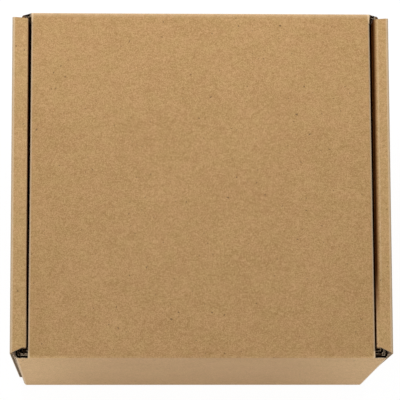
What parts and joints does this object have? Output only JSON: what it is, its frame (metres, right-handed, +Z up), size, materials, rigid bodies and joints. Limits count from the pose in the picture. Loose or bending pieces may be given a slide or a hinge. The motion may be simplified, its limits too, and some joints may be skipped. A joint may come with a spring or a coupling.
{
  "type": "closed cardboard box",
  "caption": "Closed mailing box folded from one sheet of corrugated board, with rolled double side walls, a tucked lid and a hinged front flap with side ears.",
  "frame": {"origin": "centre of the box's footprint, on the outside of its base", "axes": "+X along the front edge to the right, seen from the front; +Y from the front to the back, where the lid's fold is; +Z up"},
  "size_m": [0.166, 0.1528, 0.125],
  "materials": {
    "kraft_board": "plain brown kraft liner, matte",
    "kraft_flap": "plain brown kraft liner, matte"
  },
  "bodies": {
    "box": {"folded_box": "kraft_board"},
    "flap": {"front_flap": "kraft_flap"}
  },
  "joints": [
    {"name": "front_flap_hinge", "type": "hinge", "parent": "box", "child": "flap", "pos_m": [0, -0.0756, 0.12425], "axis": [-1, 0, 0], "range_deg": [0, 180]}
  ]
}
